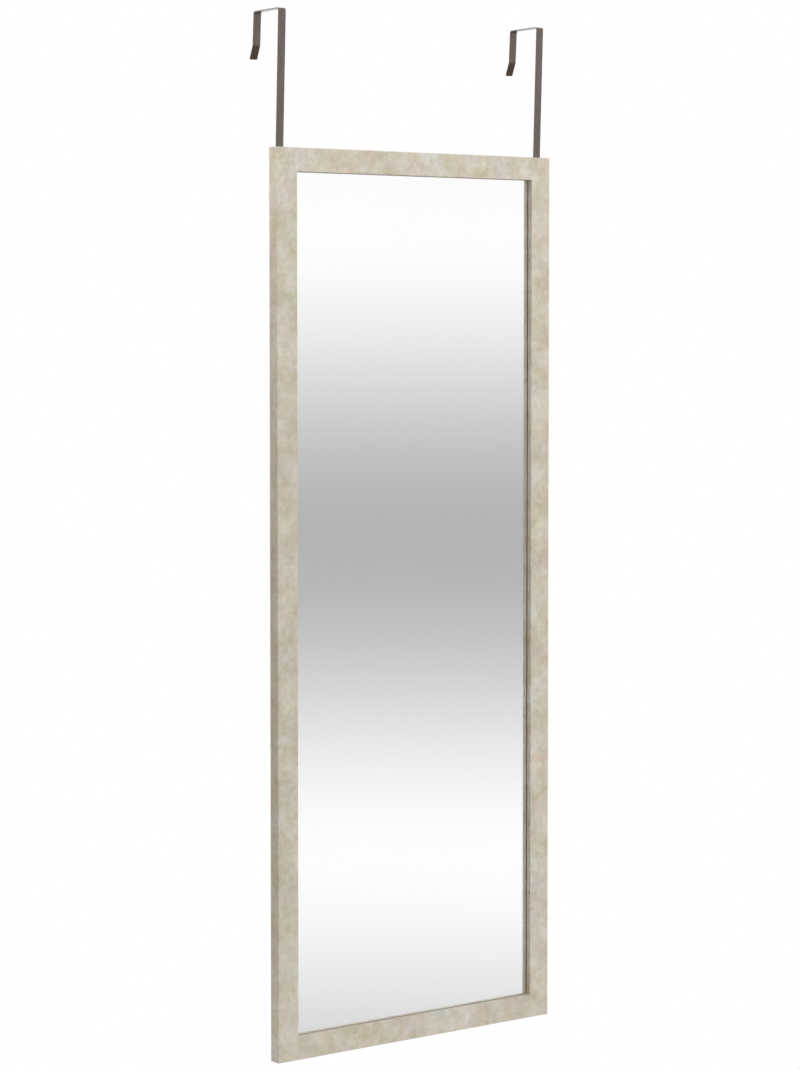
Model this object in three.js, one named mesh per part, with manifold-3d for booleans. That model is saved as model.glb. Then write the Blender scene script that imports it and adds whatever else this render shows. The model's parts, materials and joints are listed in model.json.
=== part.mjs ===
// Over-the-door mirror: a tall framed mirror that hangs from a door's top edge on two flat hooks.
// Millimetres, +Z up. X runs to the right as one faces the glass, Y from the room into the door.
// The origin is on the door's front top edge, midway between the hooks: the door's top is the
// plane z = 0 and its front face is the plane y = 0.

import * as THREE from 'three';
import { mergeVertices } from 'three/addons/utils/BufferGeometryUtils.js';
import Module from 'manifold-3d';

const wasm = await Module();
wasm.setup();

// ---------------------------------------------------------------- driving dimensions, frame

const FRAME_WIDTH = 457;
const FRAME_HEIGHT = 1219;
const FRAME_DEPTH = 19;
const FACE_WIDTH = 32; // seen from the front, outer edge to sight edge
const LIP_WIDTH = 7; // the part of the face that overlaps the glass
const FACE_TO_GLASS = 7.8;
const OUTER_ARRIS = 1.2;
const INNER_ARRIS = 0.7;
const BACK_ARRIS = 0.5;
const MITRE_GLUE = 0.05; // left off each mitred end

// ---------------------------------------------------------------- driving dimensions, panels

const GLASS_THICKNESS = 2;
const CUSHION_THICKNESS = 2;
const BOARD_THICKNESS = 3;
const PANEL_PLAY = 1; // between a panel's edge and the rabbet wall
const SHEET_GAP = 0.05; // between faces that lie on each other

// ---------------------------------------------------------------- driving dimensions, hooks

const STRAP_WIDTH = 11.5;
const STRAP_THICKNESS = 1.5;
const HOOK_RISE = 181.5; // frame top edge to door top
const HOOK_INSET = 13; // frame side edge to the strap's middle
const DOOR_GAP = 46; // door front face to the back leg's inside, at the door's top
const STRAP_SEAT = 13; // front of the frame to the front of the strap, in its groove
const STRAP_LEAN = THREE.MathUtils.degToRad(2.15);
const TAIL_LENGTH = 80; // strap below the frame's top edge
const LEG_DROP = 43.5; // door top to the bend where the lip flares
const LEG_SPLAY = THREE.MathUtils.degToRad(3.5);
const LIP_DROP = 18;
const LIP_FLARE = THREE.MathUtils.degToRad(23.5);
const BEND_RADIUS = 2.4; // inside the two bends at the door's top
const LIP_BEND_RADIUS = 6;
const STRAP_CORNER_RADIUS = 1.8;
const GROOVE_PLAY = 0.4; // beside and below the strap

// ---------------------------------------------------------------- driving dimensions, fixings

const FIT = 0.3; // between a fixing and the pocket that it sits in

const SCREW_SHANK_RADIUS = 1.75;
const SCREW_GRIP = 9.5; // length in the wood
const SCREW_TIP = 3;
const SCREW_HEAD_RADIUS = 3.4;
const SCREW_HEAD_HEIGHT = 2.2;
const SCREW_HEAD_EDGE = 0.9; // the head's straight side, under its crown
const SCREW_DROPS = { upper: 32, lower: 66 }; // below the frame's top edge
const RECESS_WIDTH = 0.9;
const RECESS_LENGTH = 3.6;
const RECESS_DEPTH = 1.1;

const NAIL_LEG = 7;
const NAIL_THICKNESS = 0.8;
const NAIL_HEIGHT = 7;

const POINT_THICKNESS = 0.6;
const POINT_WIDTH = 8;
const POINT_GRIP = 6; // driven into the rabbet wall
const POINT_TIP = 3;
const POINT_REACH = 8; // over the back
const POINTS_PER_STILE = 4;
const POINTS_PER_RAIL = 2;
const POINT_END_MARGIN = 115; // frame corner to the nearest point

const PAD_RADIUS = 7;
const PAD_THICKNESS = 1.5;
const PAD_EDGE = 0.5;
const PAD_INSET_X = 62; // frame side edge to the pad's middle

// ---------------------------------------------------------------- smoothness

const ARC_STEPS = 8; // in a rounded outline's quarter or in a crown
const ARRIS_STEPS = 4;
const BEND_STEPS = 6; // in each bend of a strap
const ROUND_SIDES = 24;
const OVERCUT = 1; // how far a cutter stands out of the face that it opens

// ---------------------------------------------------------------- places that follow from them

const BACK_Y = -PAD_THICKNESS;
const FRONT_Y = BACK_Y - FRAME_DEPTH;
const TOP_Z = -HOOK_RISE;
const BOTTOM_Z = TOP_Z - FRAME_HEIGHT;
const HALF_WIDTH = FRAME_WIDTH / 2;
const RABBET_WALL = FACE_WIDTH - LIP_WIDTH;

const GLASS_Y = FRONT_Y + FACE_TO_GLASS + SHEET_GAP;
const CUSHION_Y = GLASS_Y + GLASS_THICKNESS + SHEET_GAP;
const BOARD_Y = CUSHION_Y + CUSHION_THICKNESS + SHEET_GAP;
const POINT_Y = BOARD_Y + BOARD_THICKNESS + FIT;

const STRAP_FRONT_Y = FRONT_Y + STRAP_SEAT;
const STRAP_BACK_Y = STRAP_FRONT_Y + STRAP_THICKNESS;
const GROOVE_FLOOR_Y = STRAP_FRONT_Y - SHEET_GAP;
const HOOK_X = HALF_WIDTH - HOOK_INSET;

const SIDES = [
  { name: 'left', x: -1 },
  { name: 'right', x: 1 },
];
const ENDS = [
  { name: 'top', z: 1, edge: TOP_Z },
  { name: 'bottom', z: -1, edge: BOTTOM_Z },
];

// ---------------------------------------------------------------- finishes

const FINISHES = {
  stone_foil: { color: 0xcbc3ae, roughness: 0.5, metalness: 0 },
  mirror: { color: 0xe8ebec, roughness: 0.02, metalness: 1 },
  bronze_steel: { color: 0x6d655f, roughness: 0.45, metalness: 0.6 },
  zinc_steel: { color: 0xb9bcbd, roughness: 0.35, metalness: 1 },
  hardboard: { color: 0x7b5a3c, roughness: 0.8, metalness: 0 },
  foam: { color: 0xf1f1ee, roughness: 0.9, metalness: 0 },
  rubber: { color: 0x2b2b2b, roughness: 0.85, metalness: 0 },
};

const group = new THREE.Group();

function addPiece(name, geometry, finish) {
  const mesh = new THREE.Mesh(geometry, new THREE.MeshStandardMaterial(FINISHES[finish]));
  mesh.name = name;
  group.add(mesh);
  return mesh;
}

// ---------------------------------------------------------------- solids

// A closed geometry as a solid that can be joined and cut.
function toSolid(geometry) {
  const bare = geometry.clone();
  bare.deleteAttribute('normal');
  bare.deleteAttribute('uv');
  const merged = mergeVertices(bare, 1e-4);
  const vertProperties = new Float32Array(merged.attributes.position.array);
  const triVerts = new Uint32Array(merged.index.array);
  return new wasm.Manifold(new wasm.Mesh({ numProp: 3, vertProperties, triVerts }));
}

function toGeometry(solid) {
  const mesh = solid.getMesh();
  const geometry = new THREE.BufferGeometry();
  geometry.setAttribute('position', new THREE.BufferAttribute(mesh.vertProperties, 3));
  geometry.setIndex(new THREE.BufferAttribute(mesh.triVerts, 1));
  geometry.computeVertexNormals();
  return geometry;
}

function subtractAll(solid, cutters) {
  return cutters.reduce((rest, cutter) => rest.subtract(cutter), solid);
}

function extrude(shape, depth, curveSegments = ARC_STEPS) {
  return new THREE.ExtrudeGeometry(shape, { depth, curveSegments, bevelEnabled: false });
}

// An outline drawn in X and Z, standing between two planes of constant y.
function extrudeAlongY(shape, yFrom, yTo) {
  return extrude(shape, yTo - yFrom).rotateX(Math.PI / 2).translate(0, yTo, 0);
}

// An outline drawn in Y and Z, standing between two planes of constant x.
function extrudeAlongX(shape, xFrom, xTo) {
  const turn = new THREE.Matrix4().makeBasis(
    new THREE.Vector3(0, 1, 0),
    new THREE.Vector3(0, 0, 1),
    new THREE.Vector3(1, 0, 0),
  );
  return extrude(shape, xTo - xFrom).applyMatrix4(turn).translate(xFrom, 0, 0);
}

// A solid of revolution round +Z from [radius, z] pairs.
function turned(section) {
  const points = section.map(([radius, z]) => new THREE.Vector2(radius, z));
  return new THREE.LatheGeometry(points, ROUND_SIDES).rotateX(Math.PI / 2);
}

// ---------------------------------------------------------------- frame members

// Each member starts at one frame corner. u runs inward from its outer edge and w along it.
const MEMBERS = [
  {
    name: 'frame_top_rail',
    edge: 'top',
    corner: [-HALF_WIDTH, TOP_Z],
    inward: [0, -1],
    length: FRAME_WIDTH,
    points: POINTS_PER_RAIL,
  },
  {
    name: 'frame_right_stile',
    edge: 'right',
    corner: [HALF_WIDTH, TOP_Z],
    inward: [-1, 0],
    length: FRAME_HEIGHT,
    points: POINTS_PER_STILE,
  },
  {
    name: 'frame_bottom_rail',
    edge: 'bottom',
    corner: [HALF_WIDTH, BOTTOM_Z],
    inward: [0, 1],
    length: FRAME_WIDTH,
    points: POINTS_PER_RAIL,
  },
  {
    name: 'frame_left_stile',
    edge: 'left',
    corner: [-HALF_WIDTH, BOTTOM_Z],
    inward: [1, 0],
    length: FRAME_HEIGHT,
    points: POINTS_PER_STILE,
  },
];

function memberAxes(member) {
  const inward = new THREE.Vector3(member.inward[0], 0, member.inward[1]);
  const backward = new THREE.Vector3(0, 1, 0);
  const along = new THREE.Vector3().crossVectors(inward, backward);
  return { inward, backward, along };
}

// The moulding's section: x is u, y is the depth behind the face.
function mouldingSection() {
  const shape = new THREE.Shape();
  shape.moveTo(OUTER_ARRIS, 0);
  shape.lineTo(FACE_WIDTH - INNER_ARRIS, 0);
  shape.absarc(FACE_WIDTH - INNER_ARRIS, INNER_ARRIS, INNER_ARRIS, -Math.PI / 2, 0);
  shape.lineTo(FACE_WIDTH, FACE_TO_GLASS);
  shape.lineTo(RABBET_WALL, FACE_TO_GLASS);
  shape.lineTo(RABBET_WALL, FRAME_DEPTH);
  shape.lineTo(BACK_ARRIS, FRAME_DEPTH);
  shape.lineTo(0, FRAME_DEPTH - BACK_ARRIS);
  shape.lineTo(0, OUTER_ARRIS);
  shape.absarc(OUTER_ARRIS, OUTER_ARRIS, OUTER_ARRIS, Math.PI, 1.5 * Math.PI);
  return shape;
}

// A length of moulding with both ends mitred: the end planes lean inward by u.
function mouldingLength(member) {
  const geometry = extrude(mouldingSection(), member.length, ARRIS_STEPS);
  const position = geometry.attributes.position;
  for (let i = 0; i < position.count; i++) {
    const shift = position.getX(i) + MITRE_GLUE;
    const w = position.getZ(i);
    position.setZ(i, w < member.length / 2 ? w + shift : w - shift);
  }
  const { inward, backward, along } = memberAxes(member);
  const place = new THREE.Matrix4().makeBasis(inward, backward, along);
  place.setPosition(member.corner[0], FRONT_Y, member.corner[1]);
  return geometry.applyMatrix4(place);
}

// ---------------------------------------------------------------- door hooks

// Rounds the corners of a polyline, each with its own radius.
function bentPath(points, radii) {
  const path = [points[0]];
  radii.forEach((radius, index) => {
    const corner = points[index + 1];
    const toPrevious = points[index].clone().sub(corner).normalize();
    const toNext = points[index + 2].clone().sub(corner).normalize();
    const halfAngle = Math.acos(toPrevious.dot(toNext)) / 2;
    const bisector = toPrevious.clone().add(toNext).normalize();
    const centre = corner.clone().addScaledVector(bisector, radius / Math.sin(halfAngle));
    const start = corner.clone().addScaledVector(toPrevious, radius / Math.tan(halfAngle));
    const turn = (Math.PI - 2 * halfAngle) * Math.sign(toNext.cross(toPrevious));
    for (let step = 0; step <= BEND_STEPS; step++) {
      path.push(start.clone().rotateAround(centre, (turn * step) / BEND_STEPS));
    }
  });
  path.push(points[points.length - 1]);
  return path;
}

// The outline of a strip of the given thickness that follows a path.
function stripOutline(path, thickness) {
  const normals = path.slice(1).map((point, i) => {
    const along = point.clone().sub(path[i]).normalize();
    return new THREE.Vector2(-along.y, along.x);
  });
  const offsets = path.map((point, i) => {
    const before = normals[Math.max(i - 1, 0)];
    const after = normals[Math.min(i, normals.length - 1)];
    const mean = before.clone().add(after).normalize();
    return mean.multiplyScalar(thickness / 2 / mean.dot(before));
  });
  const leftSide = path.map((point, i) => point.clone().add(offsets[i]));
  const rightSide = path.map((point, i) => point.clone().sub(offsets[i]));
  return new THREE.Shape([...leftSide, ...rightSide.reverse()]);
}

// The strap's middle line, seen from the side: x is the object's y, y is its z.
function hookPath() {
  const half = STRAP_THICKNESS / 2;
  const seatY = STRAP_FRONT_Y + half;
  const tailEnd = new THREE.Vector2(seatY, TOP_Z - TAIL_LENGTH);
  const leanStart = new THREE.Vector2(seatY, TOP_Z);
  const frontCorner = new THREE.Vector2(seatY - (HOOK_RISE + half) * Math.tan(STRAP_LEAN), half);
  const legY = (z) => DOOR_GAP + half / Math.cos(LEG_SPLAY) - z * Math.tan(LEG_SPLAY);
  const backCorner = new THREE.Vector2(legY(half), half);
  const lipBend = new THREE.Vector2(legY(-LEG_DROP), -LEG_DROP);
  const lipEnd = lipBend.clone().add(new THREE.Vector2(LIP_DROP * Math.tan(LIP_FLARE), -LIP_DROP));
  const bend = BEND_RADIUS + half;
  return bentPath(
    [tailEnd, leanStart, frontCorner, backCorner, lipBend, lipEnd],
    [LIP_BEND_RADIUS, bend, bend, LIP_BEND_RADIUS],
  );
}

// A strap-wide outline from above the hook down to rounded corners, for trimming a strap's end.
function strapBlank(x, zLow, radius) {
  const half = STRAP_WIDTH / 2;
  const zHigh = STRAP_THICKNESS + OVERCUT;
  const shape = new THREE.Shape();
  shape.moveTo(x - half, zHigh);
  shape.lineTo(x - half, zLow + radius);
  shape.absarc(x - half + radius, zLow + radius, radius, Math.PI, 1.5 * Math.PI);
  shape.lineTo(x + half - radius, zLow);
  shape.absarc(x + half - radius, zLow + radius, radius, 1.5 * Math.PI, 2 * Math.PI);
  shape.lineTo(x + half, zHigh);
  return shape;
}

// A clearance hole for a screw's shank, between two planes of constant y.
function screwHole(x, z, yFrom, yTo) {
  const hole = new THREE.Shape().absarc(x, z, SCREW_SHANK_RADIUS + FIT, 0, 2 * Math.PI);
  return toSolid(extrudeAlongY(hole, yFrom, yTo));
}

function hookGeometry(x) {
  const half = STRAP_WIDTH / 2;
  const midGap = DOOR_GAP / 2;
  const strip = extrudeAlongX(stripOutline(hookPath(), STRAP_THICKNESS), x - half, x + half);
  const lipEndZ = -(LEG_DROP + LIP_DROP) - (STRAP_THICKNESS / 2) * Math.sin(LIP_FLARE);
  const tailBlank = strapBlank(x, TOP_Z - TAIL_LENGTH, half);
  const legBlank = strapBlank(x, lipEndZ, STRAP_CORNER_RADIUS);
  const tailTrim = toSolid(extrudeAlongY(tailBlank, midGap - HOOK_RISE, midGap));
  const legTrim = toSolid(extrudeAlongY(legBlank, midGap, midGap + HOOK_RISE));
  const trimmed = toSolid(strip).intersect(tailTrim.add(legTrim));
  const holes = Object.values(SCREW_DROPS).map((drop) =>
    screwHole(x, TOP_Z - drop, STRAP_FRONT_Y - OVERCUT, STRAP_BACK_Y + OVERCUT),
  );
  return toGeometry(subtractAll(trimmed, holes));
}

// The groove that a hook's tail lies in, open at the frame's back and top edge.
function hookGroove(x) {
  const half = STRAP_WIDTH / 2 + GROOVE_PLAY;
  const endZ = TOP_Z - TAIL_LENGTH + STRAP_WIDTH / 2;
  const outline = new THREE.Shape();
  outline.moveTo(x - half, TOP_Z + OVERCUT);
  outline.lineTo(x - half, endZ);
  outline.absarc(x, endZ, half, Math.PI, 2 * Math.PI);
  outline.lineTo(x + half, TOP_Z + OVERCUT);
  return toSolid(extrudeAlongY(outline, GROOVE_FLOOR_Y, BACK_Y + OVERCUT));
}

// ---------------------------------------------------------------- hook screws

// The outline of a screw from its tip over its crowned head, as [radius, z] pairs.
function screwSection() {
  const tipZ = -(SCREW_GRIP + STRAP_THICKNESS + FIT);
  const crown = Array.from({ length: ARC_STEPS + 1 }, (_, i) => {
    const angle = ((Math.PI / 2) * i) / ARC_STEPS;
    const height = (SCREW_HEAD_HEIGHT - SCREW_HEAD_EDGE) * Math.sin(angle);
    const radius = i === ARC_STEPS ? 0 : SCREW_HEAD_RADIUS * Math.cos(angle);
    return [radius, SCREW_HEAD_EDGE + height];
  });
  return [
    [0, tipZ],
    [SCREW_SHANK_RADIUS, tipZ + SCREW_TIP],
    [SCREW_SHANK_RADIUS, 0],
    [SCREW_HEAD_RADIUS, 0],
    ...crown,
  ];
}

// A crowned wood screw with a cross recess, its head standing on z = 0.
function screwGeometry() {
  const body = toSolid(turned(screwSection()));
  const height = RECESS_DEPTH + OVERCUT;
  const middle = SCREW_HEAD_HEIGHT - RECESS_DEPTH + height / 2;
  const arms = [
    new THREE.BoxGeometry(RECESS_LENGTH, RECESS_WIDTH, height),
    new THREE.BoxGeometry(RECESS_WIDTH, RECESS_LENGTH, height),
  ].map((arm) => toSolid(arm.translate(0, 0, middle)));
  return toGeometry(subtractAll(body, arms));
}

// The hole in the stile that a screw's shank goes down.
function pilotHole(x, z) {
  return screwHole(x, z, STRAP_FRONT_Y - SCREW_GRIP - FIT, STRAP_FRONT_Y);
}

// ---------------------------------------------------------------- mitre nails

// The face that a corner's nail is driven in from: the groove's floor at the top.
function nailEntryY(end) {
  return end.name === 'top' ? GROOVE_FLOOR_Y : BACK_Y;
}

// An angle across the mitre, one leg into each member, grown by play on every side.
function nailOutline(side, end, play) {
  const heel = HOOK_INSET - NAIL_LEG / 2 - play;
  const reach = NAIL_LEG + 2 * play;
  const thick = NAIL_THICKNESS + 2 * play;
  const outline = [
    [0, 0],
    [reach, 0],
    [reach, thick],
    [thick, thick],
    [thick, reach],
    [0, reach],
  ];
  return new THREE.Shape(
    outline.map(([across, along]) => {
      const x = side.x * (HALF_WIDTH - heel - across);
      return new THREE.Vector2(x, end.edge - end.z * (heel + along));
    }),
  );
}

function nailGeometry(side, end) {
  const back = nailEntryY(end) - FIT;
  return extrudeAlongY(nailOutline(side, end, 0), back - NAIL_HEIGHT, back);
}

function nailPocket(side, end) {
  const entry = nailEntryY(end);
  const outline = nailOutline(side, end, FIT);
  return toSolid(extrudeAlongY(outline, entry - NAIL_HEIGHT - 2 * FIT, entry + FIT));
}

// ---------------------------------------------------------------- framer's points

function pointPlaces(member) {
  const step = (member.length - 2 * POINT_END_MARGIN) / (member.points - 1);
  return Array.from({ length: member.points }, (_, i) => POINT_END_MARGIN + i * step);
}

// A flat tab with its sharp end in the rabbet wall; x runs along the member, y is u.
function pointOutline(w, play) {
  const half = POINT_WIDTH / 2 + play;
  const tip = RABBET_WALL - POINT_GRIP - play;
  const shoulder = tip + POINT_TIP;
  const free = RABBET_WALL + POINT_REACH;
  const outline = [
    [w, tip],
    [w + half, shoulder],
    [w + half, free],
    [w - half, free],
    [w - half, shoulder],
  ];
  return new THREE.Shape(outline.map(([x, y]) => new THREE.Vector2(x, y)));
}

// Stands a tab, or the slot for one, at its place on a member.
function pointSolid(member, w, play) {
  const geometry = extrude(pointOutline(w, play), POINT_THICKNESS + 2 * play);
  const { inward, backward, along } = memberAxes(member);
  const place = new THREE.Matrix4().makeBasis(along, inward, backward);
  place.setPosition(member.corner[0], POINT_Y - play, member.corner[1]);
  return geometry.applyMatrix4(place);
}

// ---------------------------------------------------------------- bumper pads

// A round pad standing on z = 0.
function padGeometry() {
  return turned([
    [0, 0],
    [PAD_RADIUS, 0],
    [PAD_RADIUS, PAD_THICKNESS - PAD_EDGE],
    [PAD_RADIUS - PAD_EDGE, PAD_THICKNESS],
    [0, PAD_THICKNESS],
  ]);
}

// ---------------------------------------------------------------- assembly

const cutters = [];
for (const side of SIDES) {
  cutters.push(hookGroove(side.x * HOOK_X));
  for (const drop of Object.values(SCREW_DROPS)) {
    cutters.push(pilotHole(side.x * HOOK_X, TOP_Z - drop));
  }
  for (const end of ENDS) {
    cutters.push(nailPocket(side, end));
  }
}

for (const member of MEMBERS) {
  const slots = pointPlaces(member).map((w) => toSolid(pointSolid(member, w, FIT)));
  const solid = subtractAll(toSolid(mouldingLength(member)), [...cutters, ...slots]);
  addPiece(member.name, toGeometry(solid), 'stone_foil');
}

const panelHalfWidth = HALF_WIDTH - RABBET_WALL - PANEL_PLAY;
const panelTop = TOP_Z - RABBET_WALL - PANEL_PLAY;
const panelBottom = BOTTOM_Z + RABBET_WALL + PANEL_PLAY;
const PANELS = [
  { name: 'mirror_glass', y: GLASS_Y, thickness: GLASS_THICKNESS, finish: 'mirror' },
  { name: 'cushion_sheet', y: CUSHION_Y, thickness: CUSHION_THICKNESS, finish: 'foam' },
  { name: 'backing_board', y: BOARD_Y, thickness: BOARD_THICKNESS, finish: 'hardboard' },
];
for (const { name, y, thickness, finish } of PANELS) {
  const sheet = new THREE.BoxGeometry(2 * panelHalfWidth, thickness, panelTop - panelBottom);
  const panel = addPiece(name, sheet, finish);
  panel.position.set(0, y + thickness / 2, (panelTop + panelBottom) / 2);
}

for (const member of MEMBERS) {
  pointPlaces(member).forEach((w, i) => {
    addPiece(`framers_point_${member.edge}_${i + 1}`, pointSolid(member, w, 0), 'zinc_steel');
  });
}

for (const side of SIDES) {
  for (const end of ENDS) {
    addPiece(`mitre_nail_${end.name}_${side.name}`, nailGeometry(side, end), 'zinc_steel');
    const pad = addPiece(`bumper_pad_${end.name}_${side.name}`, padGeometry(), 'rubber');
    pad.rotation.x = -Math.PI / 2;
    pad.position.set(side.x * (HALF_WIDTH - PAD_INSET_X), BACK_Y, end.edge - end.z * (RABBET_WALL / 2));
  }
}

for (const side of SIDES) {
  const x = side.x * HOOK_X;
  addPiece(`${side.name}_door_hook`, hookGeometry(x), 'bronze_steel');
  for (const [level, drop] of Object.entries(SCREW_DROPS)) {
    const screw = addPiece(`${side.name}_hook_screw_${level}`, screwGeometry(), 'zinc_steel');
    screw.rotation.x = -Math.PI / 2;
    screw.position.set(x, STRAP_BACK_Y + FIT, TOP_Z - drop);
  }
}

export default group;
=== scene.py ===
# Over-the-door mirror: looks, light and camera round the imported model.
# Metres, +Z up, +X to the right as one faces the glass, +Y from the room into the door.
# The origin is on the door's front top edge, midway between the two hooks.

import json
import math

import bmesh
import bpy
from mathutils import Matrix, Vector


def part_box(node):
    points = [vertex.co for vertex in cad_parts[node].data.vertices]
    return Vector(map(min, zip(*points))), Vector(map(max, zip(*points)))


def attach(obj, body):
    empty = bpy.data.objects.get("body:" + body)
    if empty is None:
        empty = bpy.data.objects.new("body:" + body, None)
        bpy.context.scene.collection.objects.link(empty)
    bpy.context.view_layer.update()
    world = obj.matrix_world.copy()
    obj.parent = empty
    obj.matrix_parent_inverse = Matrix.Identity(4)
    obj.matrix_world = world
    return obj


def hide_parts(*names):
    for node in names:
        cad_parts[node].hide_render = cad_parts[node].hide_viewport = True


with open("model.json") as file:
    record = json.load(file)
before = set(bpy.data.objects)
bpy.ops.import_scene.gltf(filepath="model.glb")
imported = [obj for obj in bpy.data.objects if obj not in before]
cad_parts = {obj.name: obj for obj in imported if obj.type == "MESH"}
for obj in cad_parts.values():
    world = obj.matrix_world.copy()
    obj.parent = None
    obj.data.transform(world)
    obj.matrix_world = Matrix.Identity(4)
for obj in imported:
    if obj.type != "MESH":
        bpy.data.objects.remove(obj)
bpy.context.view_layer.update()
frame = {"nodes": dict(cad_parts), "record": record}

MM = 0.001

# ---------------------------------------------------------------- places read from the frame

RIGHT_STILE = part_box("frame_right_stile")
TOP_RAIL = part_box("frame_top_rail")
BOTTOM_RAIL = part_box("frame_bottom_rail")
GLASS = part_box("mirror_glass")

FRAME_RIGHT = RIGHT_STILE[1].x
FRAME_FRONT = TOP_RAIL[0].y
FRAME_BACK = TOP_RAIL[1].y
FRAME_TOP = TOP_RAIL[1].z
FRAME_BOTTOM = BOTTOM_RAIL[0].z
GLASS_FRONT = GLASS[0].y

# ---------------------------------------------------------------- camera

IMAGE_HEIGHT = 1070  # rows of the photograph
SENSOR = 36.0  # mm, along the picture's long side
FOCAL_PIXELS = 2760.0
PRINCIPAL_ROW = 446.4  # the row that the lens looks straight at
CAMERA_AZIMUTH = math.radians(35.35)  # to the left of the glass's own normal
CAMERA_PITCH = math.radians(2.65)  # downward
CAMERA_TARGET = Vector((-0.0301, FRAME_FRONT, -0.5813))
CAMERA_DISTANCE = 3.758
CAMERA_RANGE = 0.1, 50  # the nearest and the farthest that it sees


def add_camera():
    """The camera at the photograph's place, with its level line at the photograph's row."""
    data = bpy.data.cameras.new("camera")
    data.sensor_fit = "AUTO"
    data.sensor_width = SENSOR
    data.lens = FOCAL_PIXELS * SENSOR / IMAGE_HEIGHT
    data.shift_y = (PRINCIPAL_ROW - IMAGE_HEIGHT / 2) / IMAGE_HEIGHT
    data.clip_start, data.clip_end = CAMERA_RANGE
    look = Vector((
        math.sin(CAMERA_AZIMUTH) * math.cos(CAMERA_PITCH),
        math.cos(CAMERA_AZIMUTH) * math.cos(CAMERA_PITCH),
        -math.sin(CAMERA_PITCH),
    ))
    camera = bpy.data.objects.new("camera", data)
    camera.location = CAMERA_TARGET - CAMERA_DISTANCE * look
    camera.rotation_euler = look.to_track_quat("-Z", "Y").to_euler()
    bpy.context.scene.collection.objects.link(camera)
    bpy.context.scene.camera = camera


# ---------------------------------------------------------------- node helpers


def add(tree, kind, sockets=None, **settings):
    """Adds a node; sockets maps an input to a value or to another node's output."""
    node = tree.nodes.new(kind)
    for name, value in settings.items():
        setattr(node, name, value)
    for name, value in (sockets or {}).items():
        if isinstance(value, bpy.types.NodeSocket):
            tree.links.new(value, node.inputs[name])
        else:
            node.inputs[name].default_value = value
    return node


def calc(tree, operation, *values, clamp=False):
    """One arithmetic step."""
    node = add(tree, "ShaderNodeMath", dict(enumerate(values)), operation=operation)
    node.use_clamp = clamp
    return node.outputs[0]


def map_range(tree, value, low, high, to_low=0.0, to_high=1.0, smooth=False):
    """Moves value from low..high to to_low..to_high, and holds it there."""
    kind = "SMOOTHSTEP" if smooth else "LINEAR"
    sockets = {
        "Value": value, "From Min": low, "From Max": high, "To Min": to_low, "To Max": to_high,
    }
    return add(tree, "ShaderNodeMapRange", sockets, interpolation_type=kind, clamp=True).outputs[0]


def noise(tree, vector, scale, detail=2.0, roughness=0.5, distortion=0.0):
    """Smooth noise from 0 to 1."""
    sockets = {
        "Vector": vector, "Scale": scale, "Detail": detail,
        "Roughness": roughness, "Distortion": distortion,
    }
    return add(tree, "ShaderNodeTexNoise", sockets).outputs["Fac"]


NOISE_SPAN = 0.3, 0.7  # smooth noise seldom leaves this


def spread(tree, field, low, high):
    """Moves a noise's usual span to low..high."""
    return map_range(tree, field, *NOISE_SPAN, low, high)


def stretched(tree, vector, factors, offset=(0, 0, 0)):
    """The coordinates scaled by one factor an axis, then moved."""
    sockets = {"Vector": vector, "Scale": factors, "Location": offset}
    return add(tree, "ShaderNodeMapping", sockets).outputs[0]


def scaled(tree, vector, factor):
    """A colour or a vector times one number."""
    sockets = {0: vector, "Scale": factor}
    return add(tree, "ShaderNodeVectorMath", sockets, operation="SCALE").outputs[0]


def ramp(tree, factor, stops, interpolation="LINEAR"):
    """A colour ramp through (position, colour) stops."""
    node = add(tree, "ShaderNodeValToRGB", {"Fac": factor})
    node.color_ramp.interpolation = interpolation
    elements = node.color_ramp.elements
    while len(elements) < len(stops):
        elements.new(0.5)
    for element, (position, color) in zip(elements, stops):
        element.position = position
    for element, (position, color) in zip(elements, stops):
        element.color = (*color, 1)
    return node.outputs["Color"]


def mix(tree, factor, first, second, mode="MIX"):
    """Blends two colours."""
    def socket_value(color):
        return color if isinstance(color, bpy.types.NodeSocket) else (*color, 1)

    sockets = {0: factor, 6: socket_value(first), 7: socket_value(second)}
    return add(tree, "ShaderNodeMix", sockets, data_type="RGBA", blend_type=mode).outputs[2]


def bump(tree, height, distance, strength=1.0, normal=None):
    """A normal pushed out by a height from 0 to 1 over distance, in metres."""
    sockets = {"Height": height, "Distance": distance, "Strength": strength}
    if normal is not None:
        sockets["Normal"] = normal
    return add(tree, "ShaderNodeBump", sockets).outputs[0]


def new_material(name):
    """An empty material: its node tree and its object coordinates in metres."""
    material = bpy.data.materials.new(name)
    material.use_nodes = True
    tree = material.node_tree
    tree.nodes.clear()
    coordinates = add(tree, "ShaderNodeTexCoord").outputs["Object"]
    return material, tree, coordinates


def principled(tree, **sockets):
    """Ends a material with one Principled shader; underscores in names stand for spaces."""
    named = {name.replace("_", " "): value for name, value in sockets.items()}
    for name, value in named.items():
        if isinstance(value, tuple) and len(value) == 3:
            named[name] = (*value, 1)
    shader = add(tree, "ShaderNodeBsdfPrincipled", named)
    add(tree, "ShaderNodeOutputMaterial", {"Surface": shader.outputs[0]})
    return shader


# ---------------------------------------------------------------- stage

WHITE = 1.0
FLOOR_LEVEL = -2.03  # a standard door's top is this far above the floor
FLOOR_RADIUS = 1.75
FLOOR_FADE_START = 1.0
FLOOR_COLOR = (0.74, 0.74, 0.73)
FLOOR_GRAIN_COLOR = (0.62, 0.62, 0.61)
FLOOR_GRAIN_SHARE = 0.04

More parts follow.
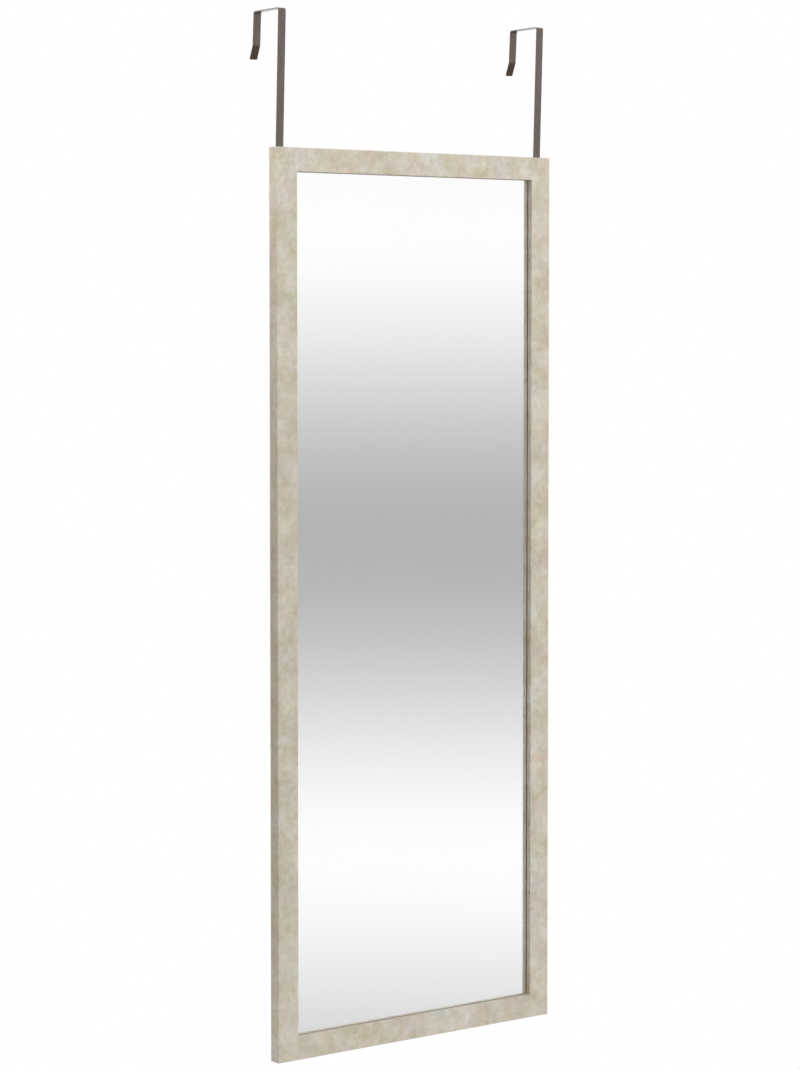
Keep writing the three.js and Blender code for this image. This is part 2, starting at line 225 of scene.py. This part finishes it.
# The studio that glass and metal mirror: display greys by the elevation of the ray, in degrees.
STUDIO_GREYS = (
    (-60.0, 0.10), (-40.0, 0.36), (-27.0, 0.55), (-18.2, 0.705), (-11.1, 1.0), (-4.6, 0.709),
    (1.75, 1.0), (9.0, 0.93), (30.0, 0.90),
)
DISPLAY_GAMMA = 2.25
BACKDROP_EDGE = -0.05, 0.20  # the direction's Y over which the room gives way to the backdrop

# Soft light all round: a low warm bounce up to SKY_START, then brighter towards the ceiling.
BOUNCE = (0.300, 0.222, 0.180)
CEILING = (0.80, 0.82, 0.83)
SKY_START = 0.25  # the direction's Z where the ceiling's light begins
LAMPS_IN_MIRROR = 2.8  # what matt surfaces get by way of the glass, which doesn't show the lamps


def studio_color(tree, direction, height):
    """What glass and metal mirror: a graded room in front, the white backdrop behind."""
    elevation = calc(tree, "ARCSINE", height)
    low, high = STUDIO_GREYS[0][0], STUDIO_GREYS[-1][0]
    place = map_range(tree, elevation, math.radians(low), math.radians(high))
    greys = [((angle - low) / (high - low), (grey,) * 3) for angle, grey in STUDIO_GREYS]
    room = ramp(tree, place, greys, "EASE")
    room = add(tree, "ShaderNodeGamma", {"Color": room, "Gamma": DISPLAY_GAMMA}).outputs[0]
    depth = add(tree, "ShaderNodeSeparateXYZ", {0: direction}).outputs["Y"]
    backdrop = map_range(tree, depth, *BACKDROP_EDGE, smooth=True)
    return mix(tree, backdrop, room, (WHITE,) * 3)


def ambient_color(tree, height):
    """The soft light on matt surfaces."""
    rise = map_range(tree, height, SKY_START, 1)
    return mix(tree, rise, BOUNCE, CEILING)


def add_world():
    """White behind the object, a graded studio in reflections, and soft light from all round."""
    world = bpy.data.worlds.new("studio")
    bpy.context.scene.world = world
    world.use_nodes = True
    tree = world.node_tree
    tree.nodes.clear()
    direction = add(tree, "ShaderNodeTexCoord").outputs["Generated"]
    height = add(tree, "ShaderNodeSeparateXYZ", {0: direction}).outputs["Z"]
    rays = add(tree, "ShaderNodeLightPath").outputs
    mirrored = calc(tree, "MAXIMUM", rays["Is Glossy Ray"], rays["Is Transmission Ray"])
    second_hand = calc(tree, "GREATER_THAN", rays["Diffuse Depth"], 0.5)
    room = mix(tree, second_hand, studio_color(tree, direction, height), (LAMPS_IN_MIRROR,) * 3)
    color = mix(tree, mirrored, ambient_color(tree, height), room)
    color = mix(tree, rays["Is Camera Ray"], color, (WHITE,) * 3)
    background = add(tree, "ShaderNodeBackground", {"Color": color, "Strength": 1.0})
    add(tree, "ShaderNodeOutputWorld", {"Surface": background.outputs[0]})


def floor_material():
    """A pale floor that takes shadows and fades into the white background."""
    material, tree, coordinates = new_material("floor")
    radius = add(tree, "ShaderNodeVectorMath", {0: coordinates}, operation="LENGTH")
    fade = map_range(tree, radius.outputs["Value"], FLOOR_FADE_START, FLOOR_RADIUS, smooth=True)
    grain = noise(tree, coordinates, 40, detail=3)
    grain = calc(tree, "MULTIPLY", grain, FLOOR_GRAIN_SHARE)
    color = mix(tree, grain, FLOOR_COLOR, FLOOR_GRAIN_COLOR)
    solid = add(tree, "ShaderNodeBsdfDiffuse", {"Color": color}).outputs[0]
    glow = {"Color": (WHITE,) * 3 + (1,), "Strength": 1.0}
    white = add(tree, "ShaderNodeEmission", glow).outputs[0]
    rays = add(tree, "ShaderNodeLightPath").outputs
    seen = calc(tree, "MAXIMUM", rays["Is Camera Ray"], rays["Is Glossy Ray"])
    seen = calc(tree, "MAXIMUM", seen, rays["Is Transmission Ray"])
    white_share = calc(tree, "MULTIPLY", fade, seen)
    top = add(tree, "ShaderNodeMixShader", {0: white_share, 1: solid, 2: white}).outputs[0]
    clear = add(tree, "ShaderNodeBsdfTransparent").outputs[0]
    underside = add(tree, "ShaderNodeNewGeometry").outputs["Backfacing"]
    surface = add(tree, "ShaderNodeMixShader", {0: underside, 1: top, 2: clear}).outputs[0]
    add(tree, "ShaderNodeOutputMaterial", {"Surface": surface})
    return material


def add_floor():
    """A round pale floor under the hanging mirror."""
    mesh = bmesh.new()
    bmesh.ops.create_circle(mesh, cap_ends=True, segments=96, radius=FLOOR_RADIUS)
    floor = add_object("floor", mesh, floor_material())
    floor.location = (0, 0, FLOOR_LEVEL)


def add_softbox(name, place, target, size, power, color=(1, 1, 1)):
    """A square lamp that lights the object and doesn't show itself."""
    data = bpy.data.lights.new(name, "AREA")
    data.shape = "SQUARE"
    data.size = size
    data.energy = power
    data.color = color
    lamp = bpy.data.objects.new(name, data)
    lamp.location = place
    aim = Vector(target) - Vector(place)
    lamp.rotation_euler = aim.to_track_quat("-Z", "Y").to_euler()
    lamp.visible_camera = False
    lamp.visible_glossy = False
    lamp.visible_transmission = False
    bpy.context.scene.collection.objects.link(lamp)


COOL = (0.985, 1.0, 1.025)


def add_lights():
    """Large soft boxes in front, to the left and behind, and three small ones near the frame."""
    add_softbox("key", (1.6, -3.0, 0.3), (0, 0, -0.9), 2.0, 55, COOL)
    add_softbox("upper", (0, -1.8, 1.2), (0, 0, -0.5), 1.6, 24, COOL)
    add_softbox("lower", (0.2, -1.3, -1.6), (0, 0, -1.35), 0.6, 1.3, COOL)
    add_softbox("side", (-2.0, 0, 0.2), (-0.23, 0, -0.6), 1.0, 4.0, COOL)
    add_softbox("side_high", (-0.60, 0, 0), (-0.23, 0, -0.32), 0.3, 1.46, COOL)
    add_softbox("side_low", (-0.55, -0.05, -1.62), (-0.23, 0, -1.35), 0.3, 0.45)
    add_softbox("back_fill", (1.3, 3.0, 0.4), (0, 0, -0.7), 2.0, 60)


# ---------------------------------------------------------------- materials

FOIL_COLOR = (0.530, 0.505, 0.418)
PIT_COLOR = (0.33, 0.28, 0.21)
MOTTLING = 0.85  # the mottling's strength beside the clouds'
LIGHT_DRIFT = (0.70, 0.85, 1.24)  # how far the clouds change each colour; dark ones are browner
PINK_DRIFT = (0.15, -0.15, -0.03)  # red up and green down
PINK_BIAS = 2.0  # makes the pink clouds rarer and stronger than the green ones
YELLOW_DRIFT = (0.07, 0.07, -0.29)  # blue down
GRAIN_DRIFT = 0.25
PIT_SHARE = 0.45
FOIL_WRAP = 5 * MM  # how far the foil goes round on to the frame's back
FOIL_REACH = 0.6 * MM  # a point this near an outer surface takes its cover
NO_SHIFT = (0, 0, 0)
PINK_SHIFT, YELLOW_SHIFT = (3.1, 1.7, 5.3), (7.9, 4.2, 2.6)  # each tint has clouds of its own


def cloud_field(tree, coordinates, offset):
    """Clouds some 30 mm wide, 9 mm mottling in them and finer detail in both; zero on average."""
    moved = stretched(tree, coordinates, (1, 1, 1), offset)
    clouds = calc(tree, "SUBTRACT", noise(tree, moved, 32, detail=6, roughness=0.68), 0.5)
    mottling = calc(tree, "SUBTRACT", noise(tree, moved, 110, detail=5, roughness=0.8), 0.5)
    return calc(tree, "MULTIPLY_ADD", mottling, MOTTLING, clouds)


def foil_color(tree, coordinates):
    """The printed travertine: clouds that drift in lightness and tint, fine grain and dark pits."""
    light = cloud_field(tree, coordinates, NO_SHIFT)
    pink = cloud_field(tree, coordinates, PINK_SHIFT)
    yellow = cloud_field(tree, coordinates, YELLOW_SHIFT)
    grain = calc(tree, "SUBTRACT", noise(tree, coordinates, 1100, detail=2), 0.5)

    pink = calc(tree, "MULTIPLY", pink, calc(tree, "MULTIPLY_ADD", pink, PINK_BIAS, 1.0))
    color = (1, 1, 1)
    for field, shares in (
        (light, LIGHT_DRIFT), (pink, PINK_DRIFT), (yellow, YELLOW_DRIFT),
        (grain, (GRAIN_DRIFT,) * 3),
    ):
        drift = scaled(tree, shares, field)
        color = add(tree, "ShaderNodeVectorMath", {0: color, 1: drift}).outputs[0]
    sockets = {0: color, 1: FOIL_COLOR}
    color = add(tree, "ShaderNodeVectorMath", sockets, operation="MULTIPLY").outputs[0]

    sockets = {"Vector": coordinates, "Scale": 150, "Randomness": 1.0}
    cells = add(tree, "ShaderNodeTexVoronoi", sockets).outputs["Distance"]
    pit = map_range(tree, cells, 0.05, 0.16, 1, 0, smooth=True)
    sparse = map_range(tree, noise(tree, coordinates, 70, detail=1), 0.56, 0.62)
    pits = calc(tree, "MULTIPLY", pit, sparse)
    color = mix(tree, calc(tree, "MULTIPLY", pits, PIT_SHARE), color, PIT_COLOR)
    relief = calc(tree, "SUBTRACT", light, pits)
    return color, relief


def fibreboard_color(tree, coordinates):
    """Raw medium-density fibreboard: tan with short pale and dark fibres."""
    fibres = noise(tree, stretched(tree, coordinates, (1, 1, 0.25)), 2600, detail=3, roughness=0.7)
    color = ramp(tree, fibres, (
        (0.30, (0.255, 0.165, 0.095)), (0.50, (0.355, 0.245, 0.150)), (0.72, (0.470, 0.345, 0.225)),
    ))
    return scaled(tree, color, spread(tree, noise(tree, coordinates, 25), 0.92, 1.06))


def foil_mask(tree, coordinates):
    """1 where the foil is: on the face, the lip's edge, the outer side and a strip of the back."""
    x, y, z = add(tree, "ShaderNodeSeparateXYZ", {0: coordinates}).outputs
    from_side = calc(tree, "SUBTRACT", FRAME_RIGHT, calc(tree, "ABSOLUTE", x))
    from_top = calc(tree, "SUBTRACT", FRAME_TOP, z)
    from_bottom = calc(tree, "SUBTRACT", z, FRAME_BOTTOM)
    inset = calc(tree, "MINIMUM", from_side, calc(tree, "MINIMUM", from_top, from_bottom))
    ragged = calc(tree, "MULTIPLY", noise(tree, coordinates, 900, detail=2), 0.6 * MM)
    front = calc(tree, "LESS_THAN", y, GLASS_FRONT - 0.1 * MM)
    side = calc(tree, "LESS_THAN", inset, FOIL_REACH)
    on_back = calc(tree, "GREATER_THAN", y, FRAME_BACK - FOIL_REACH)
    wrapped = calc(tree, "LESS_THAN", calc(tree, "SUBTRACT", inset, ragged), FOIL_WRAP)
    strip = calc(tree, "MULTIPLY", on_back, wrapped)
    return calc(tree, "MAXIMUM", front, calc(tree, "MAXIMUM", side, strip))


def stone_foil_material():
    """Satin stone-look foil over fibreboard, which shows raw on the back and in the rabbet."""
    material, tree, coordinates = new_material("stone_foil")
    foil, relief = foil_color(tree, coordinates)
    board = fibreboard_color(tree, coordinates)
    covered = foil_mask(tree, coordinates)
    color = mix(tree, covered, board, foil)
    satin = spread(tree, noise(tree, coordinates, 300, detail=3), 0.46, 0.58)
    roughness = add(tree, "ShaderNodeMix", {0: covered, 2: 0.85, 3: satin}).outputs[0]
    fuzz = noise(tree, coordinates, 3000, detail=2)
    height = add(tree, "ShaderNodeMix", {0: covered, 2: fuzz, 3: relief}).outputs[0]
    normal = bump(tree, height, 0.06 * MM, strength=0.6)
    principled(tree, Base_Color=color, Roughness=roughness, Normal=normal, IOR=1.45)
    return material


def bronze_material():
    """Grey-bronze lacquer on steel strip, with faint streaks along the strip."""
    material, tree, coordinates = new_material("bronze_steel")
    along = stretched(tree, coordinates, (1, 0.03, 0.03))
    streaks = noise(tree, along, 1400, detail=3, roughness=0.6)
    cloud = noise(tree, coordinates, 120, detail=3)
    color = ramp(tree, streaks, (
        (0.30, (0.087, 0.063, 0.053)), (0.52, (0.122, 0.090, 0.077)), (0.75, (0.158, 0.119, 0.102)),
    ))
    color = scaled(tree, color, spread(tree, cloud, 0.92, 1.08))
    roughness = spread(tree, streaks, 0.27, 0.38)
    peel = noise(tree, coordinates, 1500, detail=1)
    normal = bump(tree, peel, 0.02 * MM, strength=0.5)
    principled(
        tree, Base_Color=color, Metallic=0.63, Roughness=roughness, Normal=normal, IOR=1.5,
        Coat_Weight=1.0, Coat_Roughness=0.08, Coat_IOR=1.5,
    )
    return material


def zinc_material():
    """Bright zinc plate with a faint warm and cool cast."""
    material, tree, coordinates = new_material("zinc_steel")
    cast = noise(tree, coordinates, 260, detail=3)
    color = ramp(tree, cast, (
        (0.32, (0.55, 0.58, 0.62)), (0.52, (0.62, 0.64, 0.65)), (0.70, (0.68, 0.66, 0.60)),
    ))
    scuffs = noise(tree, stretched(tree, coordinates, (1, 1, 0.2)), 3500, detail=2)
    roughness = spread(tree, scuffs, 0.24, 0.42)
    normal = bump(tree, scuffs, 0.01 * MM, strength=0.4)
    principled(tree, Base_Color=color, Metallic=1.0, Roughness=roughness, Normal=normal)
    return material


def hardboard_material():
    """Brown hardboard, smooth side out: pressed fibres and a slight cloudiness."""
    material, tree, coordinates = new_material("hardboard")
    fibres = noise(tree, coordinates, 850, detail=5, roughness=0.7, distortion=0.6)
    color = ramp(tree, fibres, (
        (0.28, (0.105, 0.052, 0.024)), (0.48, (0.200, 0.110, 0.055)), (0.72, (0.300, 0.180, 0.098)),
    ))
    cloud = noise(tree, coordinates, 9, detail=4)
    color = scaled(tree, color, spread(tree, cloud, 0.92, 1.06))
    roughness = spread(tree, fibres, 0.50, 0.68)
    normal = bump(tree, fibres, 0.05 * MM, strength=0.4)
    principled(tree, Base_Color=color, Roughness=roughness, Normal=normal)
    return material


def foam_material():
    """White closed-cell foam sheet."""
    material, tree, coordinates = new_material("foam")
    sockets = {"Vector": coordinates, "Scale": 1200}
    cells = add(tree, "ShaderNodeTexVoronoi", sockets).outputs["Distance"]
    color = ramp(tree, cells, ((0.0, (0.78, 0.78, 0.76)), (0.6, (0.86, 0.86, 0.84))))
    principled(tree, Base_Color=color, Roughness=0.9, Normal=bump(tree, cells, 0.2 * MM))
    return material


def rubber_material():
    """Black rubber with a fine moulded grain."""
    material, tree, coordinates = new_material("rubber")
    grain = noise(tree, coordinates, 2200, detail=3, roughness=0.6)
    color = ramp(tree, grain, ((0.3, (0.022, 0.022, 0.023)), (0.7, (0.038, 0.037, 0.036))))
    roughness = spread(tree, grain, 0.72, 0.86)
    principled(tree, Base_Color=color, Roughness=roughness, Normal=bump(tree, grain, 0.05 * MM))
    return material


def glass_material():
    """Clear float glass."""
    material, tree, coordinates = new_material("clear_glass")
    ripple = noise(tree, coordinates, 6, detail=1)
    normal = bump(tree, ripple, 0.004 * MM, strength=0.2)
    principled(
        tree, Base_Color=(0.998, 0.998, 0.998), Roughness=0.0, IOR=1.5,
        Transmission_Weight=1.0, Normal=normal,
    )
    return material


def silver_material():
    """The silvering behind the glass."""
    material, tree, coordinates = new_material("silver_coat")
    film = noise(tree, coordinates, 4, detail=2)
    color = ramp(tree, film, ((0.3, (0.992, 0.992, 0.992)), (0.7, (0.998, 0.998, 0.998))))
    principled(tree, Base_Color=color, Metallic=1.0, Roughness=0.0)
    return material


# ---------------------------------------------------------------- pieces


def add_object(name, mesh, material):
    """Turns a bmesh into an object with one material."""
    data = bpy.data.meshes.new(name)
    mesh.to_mesh(data)
    mesh.free()
    data.materials.append(material)
    piece = bpy.data.objects.new(name, data)
    bpy.context.scene.collection.objects.link(piece)
    return piece


def add_box(name, low, high, material, arris=0.0, segments=2):
    """A block between two corners, its edges taken off."""
    mesh = bmesh.new()
    size, centre = high - low, (high + low) / 2
    matrix = Matrix.Translation(centre) @ Matrix.Diagonal((*size, 1))
    bmesh.ops.create_cube(mesh, size=1, matrix=matrix)
    if arris:
        bmesh.ops.bevel(mesh, geom=mesh.edges[:], offset=arris, segments=segments, affect="EDGES")
    return add_object(name, mesh, material)


def smooth_shading(name, angle):
    """A geometry node group that shades a piece smooth, apart from edges sharper than the angle."""
    group = bpy.data.node_groups.new(name, "GeometryNodeTree")
    group.interface.new_socket("Geometry", in_out="INPUT", socket_type="NodeSocketGeometry")
    group.interface.new_socket("Geometry", in_out="OUTPUT", socket_type="NodeSocketGeometry")
    source = add(group, "NodeGroupInput").outputs[0]
    faces = add(group, "GeometryNodeSetShadeSmooth", {"Geometry": source, "Shade Smooth": True})
    bend = add(group, "GeometryNodeInputMeshEdgeAngle").outputs[0]
    sockets = {0: bend, 1: angle}
    sharp = add(group, "FunctionNodeCompare", sockets, operation="GREATER_THAN").outputs[0]
    edges = add(group, "GeometryNodeSetShadeSmooth", {
        "Geometry": faces.outputs[0], "Selection": sharp, "Shade Smooth": False,
    }, domain="EDGE")
    add(group, "NodeGroupOutput", {0: edges.outputs[0]})
    return group


WELD_WITHIN = 0.001 * MM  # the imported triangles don't share their corners
FLAT = math.radians(1)  # below this two faces lie in one plane
CORNER = math.radians(35)  # above this an edge is a corner, not a step of a curve
SOFT_CORNERS = {"bronze_steel": 0.3 * MM, "zinc_steel": 0.08 * MM, "hardboard": 0.25 * MM}


def soften(piece, width, shading):
    """Welds a piece, takes its corners off and shades its curves smooth, by modifiers alone."""
    weld = piece.modifiers.new("one_surface", "WELD")
    weld.merge_threshold = WELD_WITHIN
    flatten = piece.modifiers.new("one_face_a_plane", "DECIMATE")
    flatten.decimate_type = "DISSOLVE"
    flatten.angle_limit = FLAT
    bevel = piece.modifiers.new("soft_corners", "BEVEL")
    bevel.width = width
    bevel.segments = 2
    bevel.limit_method = "ANGLE"
    bevel.angle_limit = CORNER
    bevel.use_clamp_overlap = False  # the bends' short steps would hold it to a hair's width
    piece.modifiers.new("smooth_curves", "NODES").node_group = shading
    piece.modifiers.new("flat_faces_stay_flat", "WEIGHTED_NORMAL").keep_sharp = True


def soften_nodes():
    """The steel strip, the fixings and the boards have no knife edges."""
    shading = smooth_shading("smooth_curves", CORNER)
    for subpart in frame["record"]["subparts"]:
        width = SOFT_CORNERS.get(subpart["material_slot"])
        if width:
            soften(frame["nodes"][subpart["node"]], width, shading)


PAD_STEPS = 64
PAD_PROFILE = (  # radius and height of a bumper pad, as shares of its own
    (0.97, 0.0), (1.0, 0.18), (1.0, 0.42), (0.985, 0.60), (0.94, 0.77), (0.86, 0.89),
    (0.70, 0.96), (0.45, 0.99), (0.20, 1.0),
)


def add_pad(node, material):
    """A moulded rubber bumper: rounded at its rim, slightly crowned, flat where it is glued."""
    low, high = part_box(node)
    radius, depth = (high.x - low.x) / 2, high.y - low.y
    centre = (low + high) / 2
    mesh = bmesh.new()
    turns = [2 * math.pi * step / PAD_STEPS for step in range(PAD_STEPS)]
    rings = []
    for share, height in PAD_PROFILE:
        rings.append([mesh.verts.new((
            centre.x + share * radius * math.cos(turn),
            low.y + height * depth,
            centre.z + share * radius * math.sin(turn),
        )) for turn in turns])
    for lower, upper in zip(rings, rings[1:]):
        for step in range(PAD_STEPS):
            ahead = (step + 1) % PAD_STEPS
            mesh.faces.new((lower[step], upper[step], upper[ahead], lower[ahead]))
    mesh.faces.new(rings[0])
    mesh.faces.new(reversed(rings[-1]))
    bmesh.ops.recalc_face_normals(mesh, faces=mesh.faces[:])
    for face in mesh.faces:
        face.smooth = len(face.verts) == 4
    pad = add_object("moulded_" + node, mesh, material)
    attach(pad, "root")
    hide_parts(node)


SILVER_THICKNESS = 0.1 * MM
SILVER_GAP = 0.01 * MM
PANE_ARRIS = 0.4 * MM


def add_mirror():
    """The glass as a clear pane with its silvering behind it, so that it mirrors from its back."""
    low, high = GLASS
    silver_front = high.y - SILVER_THICKNESS
    pane_high = Vector((high.x, silver_front - SILVER_GAP, high.z))
    pane = add_box("mirror_pane", low, pane_high, glass_material(), PANE_ARRIS)
    silver_low = Vector((low.x, silver_front, low.z))
    silver = add_box("silver_coat", silver_low, high, silver_material())
    for piece in (pane, silver):
        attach(piece, "root")
        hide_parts("mirror_glass")


def paint(name, material):
    """Gives a CAD node its material."""
    materials = frame["nodes"][name].data.materials
    materials.clear()
    materials.append(material)


def paint_nodes():
    """Every CAD node that stays gets the material of its slot in the record."""
    makers = {
        "stone_foil": stone_foil_material,
        "bronze_steel": bronze_material,
        "zinc_steel": zinc_material,
        "hardboard": hardboard_material,
        "foam": foam_material,
        "rubber": rubber_material,
    }
    finishes = {slot: make() for slot, make in makers.items()}
    for subpart in frame["record"]["subparts"]:
        node, material_slot = subpart["node"], subpart["material_slot"]
        if material_slot in finishes:
            paint(node, finishes[material_slot])
        if material_slot == "rubber":
            add_pad(node, finishes["rubber"])


bpy.context.scene.view_settings.view_transform = "Standard"
add_camera()
add_world()
add_floor()
add_lights()
paint_nodes()
soften_nodes()
add_mirror()
